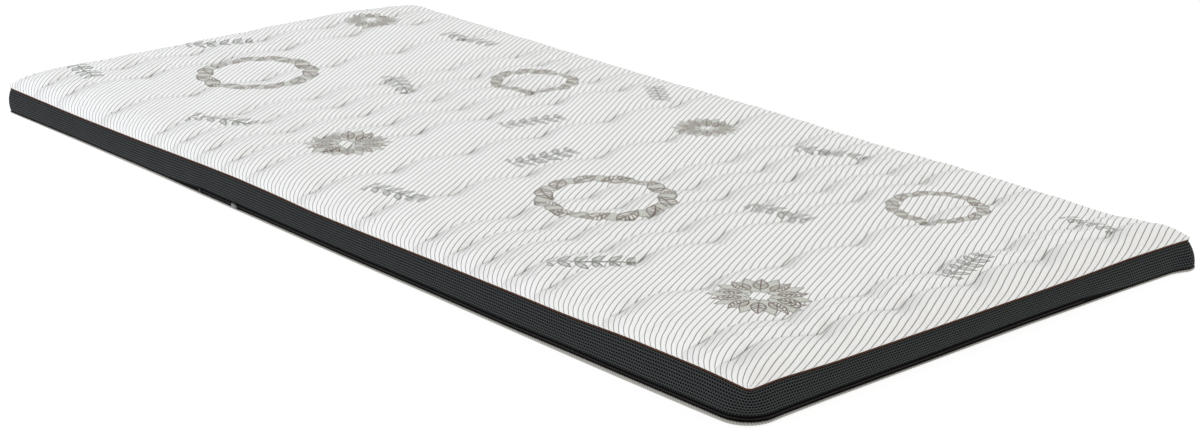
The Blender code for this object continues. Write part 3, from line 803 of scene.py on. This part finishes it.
def leaf(tree, along, across, length, width, line, rungs):
    """Body, rungs and outline of a leaf, as three shares. along and across are
    sockets, in the same units as length, width, line and the rungs' spacing."""
    t = add(tree, "Math DIVIDE", [along, length])
    t = add(tree, "Math MAXIMUM", [t, 0.0001])
    bent = add(tree, "Math POWER", [t, 0.8])
    bent = add(tree, "Math MULTIPLY", [bent, math.pi])
    half_width = add(tree, "Math MULTIPLY", [add(tree, "Math SINE", [bent]), width / 2])
    started = add(tree, "Math GREATER_THAN", [along, 0.0])
    ended = add(tree, "Math LESS_THAN", [t, 1.0])
    inside = add(tree, "Math MULTIPLY", [started, ended])
    off = add(tree, "Math ABSOLUTE", [across])
    body = add(tree, "Math MULTIPLY",
               [add(tree, "Math LESS_THAN", [off, half_width]), inside])
    to_edge = add(tree, "Math SUBTRACT", [half_width, off])
    outline_share = add(tree, "Math MULTIPLY",
                        [add(tree, "Math LESS_THAN", [to_edge, line]), body])
    rib = add(tree, "Math LESS_THAN", [off, line / 2])
    slant = add(tree, "Math MULTIPLY_ADD", [off, 0.7, along])
    rung = add(tree, "Math FRACT", [add(tree, "Math DIVIDE", [slant, rungs])])
    rung = add(tree, "Math LESS_THAN", [rung, 0.34])
    rung = add(tree, "Math MAXIMUM", [rib, rung])
    return body, add(tree, "Math MULTIPLY", [rung, body]), outline_share


# %% Wreath, rosette and sprig


def turned(tree, along, across, degrees, shift=0.0):
    """Axes turned by an angle: a cos + b sin + shift, and b cos - a sin."""
    c, s = math.cos(math.radians(degrees)), math.sin(math.radians(degrees))
    first = add(tree, "Math MULTIPLY_ADD", [across, s, shift])
    first = add(tree, "Math MULTIPLY_ADD", [along, c, first])
    second = add(tree, "Math MULTIPLY", [across, c])
    second = add(tree, "Math MULTIPLY_ADD", [along, -s, second])
    return first, second


def slice_of_turn(tree, angle, count, shift):
    """Angle within a slice of the turn, from minus to plus half a slice."""
    share = add(tree, "Math MULTIPLY_ADD", [angle, count / (2 * math.pi), shift])
    return add(tree, "Math MULTIPLY", [within_repeat(tree, share), 2 * math.pi / count])


def two_rings(tree, stippled, laddered):
    """Layers of two rings of leaves: ground, stipple, brown lines, olive lines.
    The first ring is stippled with an olive outline, the second has brown
    rungs and a brown outline, on a plain ground."""
    ground = add(tree, "Math MAXIMUM", [stippled[0], laddered[0]])
    brown = add(tree, "Math MAXIMUM", [laddered[1], laddered[2]])
    return ground, stippled[0], brown, stippled[2]


def wreath(tree, radius, angle):
    """Leaves round a circle of 0.82, one ring leaning out, the other in."""
    middle = 0.82
    out = add(tree, "Math SUBTRACT", [radius, middle])
    rings = []
    for lean, shift in ((30, 0.0), (-30, 0.5)):
        arc = slice_of_turn(tree, angle, WREATH_LEAVES, shift)
        arc = add(tree, "Math MULTIPLY", [arc, middle])
        along, across = turned(tree, arc, out, lean, 0.21)
        rings.append(leaf(tree, along, across, length=0.45, width=0.25,
                          line=0.02, rungs=0.06))
    return two_rings(tree, *rings)


def rosette(tree, radius, angle):
    """A ring of long leaves with a ring of short ones between them."""
    rings = []
    for length, width, start, shift in ((0.8, 0.36, 0.18, 0.0), (0.6, 0.3, 0.32, 0.5)):
        across = slice_of_turn(tree, angle, ROSETTE_LEAVES, shift)
        across = add(tree, "Math MULTIPLY", [across, radius])
        along = add(tree, "Math SUBTRACT", [radius, start])
        rings.append(leaf(tree, along, across, length, width, line=0.03, rungs=0.09))
    return two_rings(tree, *rings)


def sprig(tree, x, y):
    """A thin stem along x with pairs of leaves leaning forward."""
    pitch = 1.7 / SPRIG_PAIRS
    share = add(tree, "Math MULTIPLY_ADD", [x, 1 / pitch, 10.0])
    share = add(tree, "Math FRACT", [share])
    along = add(tree, "Math MULTIPLY", [share, pitch])
    off = add(tree, "Math ABSOLUTE", [y])
    along, across = turned(tree, along, off, SPRIG_LEAN, -0.02)
    body, _, edge = leaf(tree, along, across, length=0.42, width=0.19,
                         line=0.04, rungs=0.1)
    edge = add(tree, "Math MAXIMUM", [add(tree, "Math MULTIPLY", [body, 0.45]), edge])
    stem = add(tree, "Math LESS_THAN", [off, STEM_HALF])
    reach = add(tree, "Math LESS_THAN", [add(tree, "Math ABSOLUTE", [x]), STEM_REACH])
    line = add(tree, "Math MAXIMUM", [edge, stem])
    return add(tree, "Math MULTIPLY", [line, reach])


# %% The pinstripes
STRIPE_PITCH = 9.0             # mm
STRIPE_WIDTH = 1.35
STRIPE_NORMAL = 32.5           # degrees from the length, square to the stripes
STRIPE_SPREAD = 0.2            # a metre: the knit is pulled a little out of true
STRIPE_WANDER = 2.2 * MM
KNIT_STITCH = 1.3              # mm, drawn a little coarse so that it shows

knit, tree, shader = start_material(
    "white_double_knit_with_pinstripes", Roughness=0.92, Specular_IOR_Level=0.25,
    Sheen_Weight=0.25, Sheen_Roughness=0.5)
cloth, cloth_x, cloth_y = on_map(tree)
turn = math.radians(STRIPE_NORMAL)
spread = add(tree, "Math MULTIPLY_ADD", [cloth_x, -STRIPE_SPREAD, 1.0])
slanted = add(tree, "Math MULTIPLY", [cloth_y, spread])
slanted = add(tree, "Math MULTIPLY", [slanted, math.sin(turn)])
across_stripes = add(tree, "Math MULTIPLY_ADD", [cloth_x, math.cos(turn), slanted])
wander = add(tree, "TexNoise", {"Vector": cloth, "Scale": 14.0, "Detail": 1.0})
across_stripes = add(tree, "Math MULTIPLY_ADD", [wander, STRIPE_WANDER, across_stripes])
share = add(tree, "Math MULTIPLY", [across_stripes, 1 / (STRIPE_PITCH * MM)])
share = add(tree, "Math ABSOLUTE", [within_repeat(tree, share)])
stripe = add(tree, "MapRange SMOOTHSTEP",
             [share, 0.0, STRIPE_WIDTH / STRIPE_PITCH * 0.9, 1.0, 0.0])
grain = add(tree, "TexNoise",
            {"Vector": cloth, "Scale": 1 / (KNIT_STITCH * MM), "Detail": 1.0})
white = two_tones(tree, cloth, 9.0, 3.0, "#FBFBFA", "#F3F2F0")[1]
striped = add(tree, "Mix RGBA", {0: stripe, 6: white, 7: "#686963"})

# %% The print over the stripes
motif, motif_x, motif_y = on_map(tree, "motif")
radius = add(tree, "VectorMath LENGTH", [motif])
angle = add(tree, "Math ARCTAN2", [motif_y, motif_x])
kind = add(tree, "Attribute", attribute_name="kind").outputs["Fac"]
drawn = [wreath(tree, radius, angle), rosette(tree, radius, angle)]
for number, layers in enumerate(drawn, 1):
    chosen = add(tree, "Math COMPARE", [kind, float(number), 0.1])
    drawn[number - 1] = [add(tree, "Math MULTIPLY", [layer, chosen]) for layer in layers]
ground, stippled, brown, olive = [
    add(tree, "Math MAXIMUM", list(pair)) for pair in zip(*drawn)]
twigs = add(tree, "Math MULTIPLY", [sprig(tree, motif_x, motif_y),
                                    add(tree, "Math COMPARE", [kind, 3.0, 0.1])])
dots = add(tree, "MapRange", [grain, 0.42, 0.58])
stipple = add(tree, "Mix RGBA", {0: dots, 6: "#A9AC9F", 7: "#DEDFD8"})
# Each layer is a share, how much of it covers, and its colour
LAYERS = [(ground, 0.75, "#E2E2DC"), (stippled, 0.9, stipple), (olive, 0.8, "#6C7064"),
          (brown, 0.88, "#62473D"), (twigs, 0.85, "#6F7468")]
printed = striped
for layer, cover, colour in LAYERS:
    share_of = add(tree, "Math MULTIPLY", [layer, cover])
    printed = add(tree, "Mix RGBA", {0: share_of, 6: printed, 7: colour})

# %% [markdown]
# ## Shade in the folds
#
# Where the thread pulls the cloth down, little light reaches the bottom. The
# grid is too coarse to show so narrow a fold, so the piece carries each
# point's distance from its row, and the shader darkens a hair's breadth along
# it, and a little of the cloth to its right that leans away. Each stitch pulls
# for itself, which breaks the line up.

# %% Folds along the rows
CREASE_WIDTH = 1.6             # mm to each side
HOLLOW_WIDTH = 38.0            # mm to its right, where the cloth sinks
STITCH_PITCH = 6.0             # mm

beside = add(tree, "Attribute", attribute_name="beside_row").outputs["Fac"]
pull = add(tree, "Attribute", attribute_name="pull").outputs["Fac"]
crease = add(tree, "MapRange SMOOTHSTEP",
             [add(tree, "Math ABSOLUTE", [beside]), 0.0, CREASE_WIDTH * MM, 1.0, 0.0])
stitches = add(tree, "Math MULTIPLY", [cloth_y, 2 * math.pi / (STITCH_PITCH * MM)])
stitches = add(tree, "Math MULTIPLY_ADD", [add(tree, "Math SINE", [stitches]), 0.2, 0.8])
strength = add(tree, "Math MULTIPLY_ADD", [pull, 0.62, 0.25])
strength = add(tree, "Math MULTIPLY", [strength, stitches])
crease = add(tree, "Math MULTIPLY", [crease, strength])
hollow = add(tree, "MapRange SMOOTHSTEP", [beside, 0.0, HOLLOW_WIDTH * MM, 1.0, 0.0])
to_right = add(tree, "Math GREATER_THAN", [beside, 0.0])
hollow = add(tree, "Math MULTIPLY", [hollow, to_right])
strength = add(tree, "Math MULTIPLY_ADD", [pull, 0.22, 0.22])
hollow = add(tree, "Math MULTIPLY", [hollow, strength])
shaded = add(tree, "Mix RGBA", {0: hollow, 6: printed, 7: "#A6A6A4"})
shaded = add(tree, "Mix RGBA", {0: crease, 6: shaded, 7: "#5A5B56"})
rib_swell = add(tree, "Math MULTIPLY", [share, 2.0])
fine = add(tree, "Math MULTIPLY", [grain, 0.35])
height = add(tree, "Math MULTIPLY_ADD", [rib_swell, 1.0, fine])
finish(tree, shader, shaded, height, 0.5, 0.7)

# %% Make the top
points, faces, uv = close_pad(top_points, top_uv)
quilted_top = build_piece("quilted_top", points, faces, knit, uv)
for name, values, elsewhere in (("beside_row", top_beside, 1.0), ("pull", top_pull, 0.0)):
    on_points = np.full(len(points), elsewhere)
    on_points[:values.size] = values.ravel()
    quilted_top.data.attributes.new(name, "FLOAT", "POINT").data.foreach_set(
        "value", on_points)
print_layers(quilted_top.data)
dress(quilted_top, "quilted_panel")
print(f"quilted top: {len(quilted_top.data.polygons)} faces")

# %% [markdown]
# ## The border
#
# Spacer mesh is a knit of two open faces held apart by upright threads, about
# 3.5 mm thick, with small holes in staggered rows. It is a thick strip here,
# turned in at both seams and bowed out between them. The holes are too many
# and too small to cut, so the shader draws them sunk in the relief and paints
# them near black, as painted shade for the dim depth inside each one.

# %% Rings round the topper
AROUND_STEP = 5 * MM
ZIP_FIRST, ZIP_LAST = 0.3404, 1.7278       # places of the zip's two ends
ZIP_RAMP_IN, ZIP_RAMP_OUT = 0.2872, 1.8417  # where the border is at full height
ZIP_ROOM = 6.3 * MM
SEAT_RISE = 2 * GAP + 2 * CORD_BASE_RADIUS
BORDER_THICKNESS = 3.5 * MM
BORDER_BOW = 2.5 * MM
BORDER_RINGS = 15
TURNED_IN = 0.9 * MM           # at both seams, over this share of the height
TURNED_OVER = 0.04
# The mesh ripples along: mm, radians a metre, radians at place 0
RIPPLES = [(0.35, 41, 1.3), (0.3, 93, 0.0), (0.25, 17, 0.4)]
RING_START = 900               # places on to where rings begin, near the back's left end
around = np.roll(even_places(AROUND_STEP), -RING_START)


def around_length(place):
    """Distance round the seam rectangle from place 0."""
    return np.interp(place, range(5), np.cumsum([0, *SIDES]))


def zip_share(place):
    """0 away from the zip, 1 along it, with a straight ramp at each end."""
    turns = [ZIP_RAMP_IN, ZIP_FIRST, ZIP_LAST, ZIP_RAMP_OUT]
    return np.interp(place, turns, [0, 1, 1, 0])


def ring_uv(rings):
    """A UV pair for each point: the distance round, and up the section."""
    up = np.linalg.norm(np.diff(rings, axis=0), axis=-1).mean(axis=1)
    v = np.concatenate([[0], np.cumsum(up)])
    return all_pairs(around_length(around), v).transpose(1, 0, 2)


def ring_piece(name, rings, material):
    """Piece from rings all round the topper, each ring one row of the grid, and
    the last joined to the first. Faces that cross place 0 have their u mended."""
    rings = np.asarray(rings)
    faces = grid_faces(*rings.shape[:2], True, True)[:, ::-1]
    piece = build_piece(name, rings, faces, material, ring_uv(rings))
    layer = piece.data.uv_layers["cloth"].data
    corners = read(layer, "uv", 2).reshape(-1, 4, 2)
    jump = corners[..., 0] < corners[..., 0].max(axis=1, keepdims=True) - PERIMETER / 2
    corners[..., 0] += jump * PERIMETER
    layer.foreach_set("uv", corners.ravel())
    return piece


# %% Spacer mesh
HOLE_PITCH = 4.8               # mm between holes along a row, drawn coarser than
HOLE_ROWS = 4.0                # the real 2.6 mm so that they show; mm between rows
spacer, tree, shader = start_material(
    "charcoal_polyester_spacer_mesh", Roughness=0.8, Specular_IOR_Level=0.1,
    Sheen_Weight=0.03, Sheen_Roughness=0.4)
cloth, cloth_x, cloth_y = on_map(tree)
row = add(tree, "Math MULTIPLY", [cloth_y, 1 / (HOLE_ROWS * MM)])
odd = add(tree, "Math FLOORED_MODULO", [add(tree, "Math FLOOR", [row]), 2.0])
column = add(tree, "Math MULTIPLY", [cloth_x, 1 / (HOLE_PITCH * MM)])
column = add(tree, "Math MULTIPLY_ADD", [odd, 0.5, column])
offset = add(tree, "CombineXYZ",
             [within_repeat(tree, column), within_repeat(tree, row), 0.0])
radius = add(tree, "VectorMath LENGTH", [offset])
hole = add(tree, "MapRange", [radius, 0.32, 0.62, 1.0, 0.0])
fuzz, yarn = two_tones(tree, cloth, 900.0, 2.0, "#434647", "#5C6162")
# Painted shade: each hole is near black, for the dim depth inside it.
yarn_with_painted_shade_holes = add(tree, "Mix RGBA", {0: hole, 6: yarn, 7: "#030303"})
height = add(tree, "Math MULTIPLY_ADD", [hole, -1.0, fuzz])
finish(tree, shader, yarn_with_painted_shade_holes, height, 0.6, 0.8)

# %% Make the border
lift = round_value("rim", around) + SEAT_RISE + ZIP_ROOM * zip_share(around)
foot = foot_ring(around, 0.0, lift)
seam = seam_ring(around, 0.0, -(CORD_TOP_RADIUS + GAP))
normal = outwards_at(around)
run = around_length(around)
ripple = sum(size * np.sin(run * rate + start) for size, rate, start in RIPPLES) * MM
rings = []
for share_up in np.linspace(0, 1, BORDER_RINGS):
    turned_in = TURNED_IN * (math.exp(-(share_up / TURNED_OVER) ** 2)
                             + math.exp(-((1 - share_up) / TURNED_OVER) ** 2))
    bow = (BORDER_BOW + ripple) * math.sin(math.pi * share_up) - turned_in
    rings.append(foot + (seam - foot) * share_up + normal * bow[:, None])
rings.append(seam_ring(around, BORDER_THICKNESS, -(CORD_TOP_RADIUS + GAP)))
rings.append(foot_ring(around, BORDER_THICKNESS, lift))
border = ring_piece("spacer_mesh_border", rings, spacer)
dress(border, "border")

# %% [markdown]
# ## Cords over the seams
#
# A thin brown cord covers each seam. It is laid cord: two strands twisted
# round each other along a steep spiral. Its surface here is a plain tube, with
# the strands drawn in its colour and relief. Each is one closed ring that
# follows its seam.

# %% Laid cord
LAY_LENGTH = 5.0               # mm along the cord for one turn of its strands


def laid_cord(name, gap, dark, light):
    """Strands: a sine of the distance along plus a share of the way round.
    Painted shade in the gaps between the strands, and fibres of two tones on the strands."""
    cord, tree, shader = start_material(name, Roughness=0.85, Specular_IOR_Level=0.1)
    cloth, along, round_it = on_map(tree)
    turn = add(tree, "Math MULTIPLY", [round_it, 1 / (2 * MM)])
    turn = add(tree, "Math MULTIPLY_ADD", [along, 1 / (LAY_LENGTH * MM), turn])
    turn = add(tree, "Math MULTIPLY", [turn, 2 * math.pi])
    strand = add(tree, "MapRange", [add(tree, "Math SINE", [turn]), -1.0, 1.0])
    shade = two_tones(tree, cloth, 700.0, 2.0, dark, light)[1]
    # The gap colour is painted shade between the strands.
    twisted = add(tree, "Mix RGBA", {0: strand, 6: gap, 7: shade})
    finish(tree, shader, twisted, strand, 0.4, 0.8)
    return cord


brown_cord = laid_cord("brown_laid_polyester_cord", "#33211A", "#6E4735", "#8C614B")
# Painted shade: the base cord is brown like the top one, painted near black for the shade
# under the border.
cord_in_painted_shade = laid_cord("brown_laid_polyester_cord_in_painted_shade", "#080605", "#130D0A", "#20150F")


def cord_rings(centre, normal, radius, sides=8):
    """Tube round a closed line: centre + r (cos a * outwards + sin a * up)."""
    angle = -np.arange(sides) * 2 * np.pi / sides
    up = np.array([0, 0, 1.0])
    return [centre + radius * (math.cos(a) * normal + math.sin(a) * up) for a in angle]


cords = [
    ("top_seam_cord", "top_cord", brown_cord,
     seam_ring(around, CORD_TOP_INSET), CORD_TOP_RADIUS),
    ("base_seam_cord", "base_cord", cord_in_painted_shade,
     foot_ring(around, CORD_BASE_INSET,
               round_value("rim", around) + GAP + CORD_BASE_RADIUS), CORD_BASE_RADIUS),
]
for name, node, material, centre, cord_radius in cords:
    dress(ring_piece(name, cord_rings(centre, normal, cord_radius), material),
          node)

# %% [markdown]
# ## The zip
#
# A coil zip lets the cover come off. A woven tape, sewn in under the border,
# carries a nylon coil of about 1.6 mm a turn, and a metal slider runs on it
# from a stop. Closed, the two sides of the coil interlock, so the chain looks
# like a flat cord with notches, offset above and below. That is drawn as one
# tube whose radius swells at every turn.

# %% Finishes of the zip
tape_cloth, tree, shader = start_material(
    "black_woven_zip_tape", Roughness=0.9, Specular_IOR_Level=0.08)
cloth, cloth_x, cloth_y = on_map(tree)
# Herringbone: slanting lines 1.1 mm apart, whose slant turns over every 2 mm
slant = add(tree, "Math ADD", [cloth_x, add(tree, "Math PINGPONG", [cloth_y, 2 * MM])])
weave = add(tree, "Math MULTIPLY", [slant, 2 * math.pi / (1.1 * MM)])
weave = add(tree, "MapRange", [add(tree, "Math SINE", [weave]), -1.0, 1.0])
woven = add(tree, "Mix RGBA", {0: weave, 6: "#070606", 7: "#141110"})
finish(tree, shader, woven, weave, 0.2, 0.7)

nylon, tree, shader = start_material(
    "black_nylon_coil", Roughness=0.5, Specular_IOR_Level=0.2)
cloth = add(tree, "UVMap", uv_map="cloth")
drawn_out, shade = two_tones(tree, cloth, 350.0, 2.0, "#080707", "#141110")
finish(tree, shader, shade, drawn_out, 0.1, 0.5)


def cast_metal(name, dark, bright, roughness):
    """Die-cast zinc with a dull plating: blotches of two greys, and scuffs that
    are rougher, both from noise in the object's own space."""
    metal, tree, shader = start_material(name, Metallic=1.0)
    place = add(tree, "TexCoord").outputs["Object"]
    shade = two_tones(tree, place, 420.0, 3.0, dark, bright)[1]
    scuff = add(tree, "TexNoise", {"Vector": place, "Scale": 1500.0, "Detail": 2.0})
    rough = add(tree, "MapRange",
                {"Value": scuff, "To Min": roughness - 0.1, "To Max": roughness + 0.15})
    tree.links.new(rough.outputs[0], shader.inputs["Roughness"])
    finish(tree, shader, shade, scuff, 0.05, 0.5)
    return metal


gunmetal = cast_metal("gunmetal_plated_zinc", "#3A3A3C", "#59595B", 0.5)
nickel = cast_metal("dull_nickel_plated_zinc", "#6C6C6C", "#969696", 0.5)
METALS = {"zip_slider": nickel, "zip_pull": nickel, "zip_end_stop": gunmetal}
for node, metal in METALS.items():
    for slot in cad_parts[node].material_slots:
        slot.material = metal

# %% Zip tape and coil
TAPE_HEIGHT = 6.0 * MM
TAPE_INSET = 0.6 * MM
TAPE_THICKNESS = 1.2 * MM
COIL_RADIUS = 1.1 * MM
COIL_PITCH = 1.6 * MM
NOTCH = 0.16                   # share by which its radius swells and shrinks
SIDES_ROUND = 8


def strip_faces(count, rows):
    """Faces of a tube over count sections of so many points, capped at its ends."""
    faces = [tuple(face) for face in grid_faces(count, rows, False, True)]
    return faces + [tuple(range(rows)), tuple((count - 1) * rows + np.arange(rows)[::-1])]


# The tape runs on under the border's ramps, as low as the gap that they leave
run_places = even_places(3 * MM, ZIP_RAMP_IN + 0.001, ZIP_RAMP_OUT - 0.001)
seat = round_value("rim", run_places) + SEAT_RISE
tape_top = TAPE_HEIGHT * np.maximum(zip_share(run_places), 0.1)
section = [(TAPE_INSET, 0), (TAPE_INSET, 1),
           (TAPE_INSET + TAPE_THICKNESS, 1), (TAPE_INSET + TAPE_THICKNESS, 0)]
tape_points = np.stack([foot_ring(run_places, inset, seat + up * tape_top)
                        for inset, up in section], axis=1)
tape_run = around_length(run_places)
# Its V goes up the face, over the top and down the back
tape_uv = all_pairs(tape_run, np.array([0, 6.0, 7.2, 13.2]) * MM)
tape = build_piece("zip_tape_strip", tape_points, strip_faces(len(run_places), 4),
                   tape_cloth, tape_uv, sharp=40)

steps = np.arange(around_length(ZIP_FIRST), around_length(ZIP_LAST), COIL_PITCH / 4)
coil_places = np.interp(steps, tape_run, run_places)
coil_seat = round_value("rim", coil_places) + SEAT_RISE + TAPE_HEIGHT / 2
centre = foot_ring(coil_places, TAPE_INSET - GAP - COIL_RADIUS, coil_seat)
out = outwards_at(coil_places)
angle_round = np.arange(SIDES_ROUND) * 2 * np.pi / SIDES_ROUND
notch = 1 + NOTCH * np.cos(2 * np.pi * steps[:, None] / COIL_PITCH
                           + np.pi * (np.sin(angle_round) > 0))
reach = COIL_RADIUS / (1 + NOTCH) * notch
coil_points = (centre[:, None, :]
               + (reach * np.cos(angle_round))[..., None] * out[:, None, :]
               + (reach * np.sin(angle_round))[..., None] * np.array([0, 0, 1.0]))
coil_uv = all_pairs(steps, COIL_RADIUS * angle_round)
coil = build_piece("zip_coil_chain", coil_points, strip_faces(len(steps), SIDES_ROUND),
                   nylon, coil_uv)
dress(tape, "zip_tape")
dress(coil, "zip_coil")
coil_run = steps[-1] - steps[0]
print(f"coil: {coil_run / COIL_PITCH:.0f} turns over {coil_run:.2f} m")

# %% [markdown]
# ## The base panel
#
# The underside is a thin, firm ticking. Its edge is rolled up round the foot
# and shows under the border as a light, gently wavy lip with slanting grey
# dashes. Underneath it is flat where it rests. The cloth is off-white; it is
# painted down to a grey taupe, as painted shade for the lip's place in the
# shade under the border.

# %% Base ticking
DASH_PITCH = 4.8               # mm along the edge
ticking, tree, shader = start_material(
    "off_white_ticking_with_dashes_and_painted_shade", Roughness=0.9, Specular_IOR_Level=0.25,
    Sheen_Weight=0.15)
cloth, cloth_x, cloth_y = on_map(tree)
slant = add(tree, "Math MULTIPLY_ADD", [cloth_y, 0.9, cloth_x])
share = add(tree, "Math MULTIPLY", [slant, 1 / (DASH_PITCH * MM)])
share = add(tree, "Math ABSOLUTE", [within_repeat(tree, share)])
dash = add(tree, "MapRange", [share, 0.06, 0.24, 0.7, 0.0])
# Painted shade: the off-white cloth is greyed to a taupe, for the shade under the border.
fuzz, light = two_tones(tree, cloth, 600.0, 2.0, "#A5A29B", "#BAB7B1")
dashed = add(tree, "Mix RGBA", {0: dash, 6: light, 7: "#5B5752"})
height = add(tree, "Math MULTIPLY_ADD", [dash, -1.0, fuzz])
finish(tree, shader, dashed, height, 0.4, 0.6)

# %% Make the base
# The rolled edge, from where it leaves the floor: a quarter of an ellipse out
# from under the topper, then back in over the top. Each row has the share of
# the tuck still left, mm further in, and the share of the rim's height.
quarter = np.linspace(0, np.pi / 2, 9)
ROLL_ROWS = [(1 - math.sin(t), -0.6 * math.sin(t) ** 3, 0.8 * (1 - math.cos(t)))
             for t in quarter]
ROLL_ROWS += [(0.0, -0.3, 0.93), (0.0, 0.4, 1.0), (0.0, 2.2, 1.0)]
BASE_THICKNESS = 2.5 * MM
rim, tuck = round_value("rim", around), round_value("tuck", around)
rings = [foot_ring(around, left * tuck + inset * MM, rim * share)
         for left, inset, share in ROLL_ROWS]
rings.append(foot_ring(around, 6.0 * MM, np.full(len(around), BASE_THICKNESS)))
rings = np.asarray(rings)
faces = [face[::-1] for face in strip_faces(*rings.shape[:2])]
base = build_piece("base_ticking_panel", rings, faces, ticking, ring_uv(rings))
# The flat faces below and above take their place on the cloth from X and Y
flat_loops = sum(len(face.vertices) for face in base.data.polygons[-2:])
layer = base.data.uv_layers["cloth"].data
corner_uv = read(layer, "uv", 2)
corner_of = read(base.data.loops, "vertex_index", kind=np.int32)[-flat_loops:]
corner_uv[-flat_loops:] = rings.reshape(-1, 3)[corner_of, :2]
layer.foreach_set("uv", corner_uv.ravel())
dress(base, "base_panel")
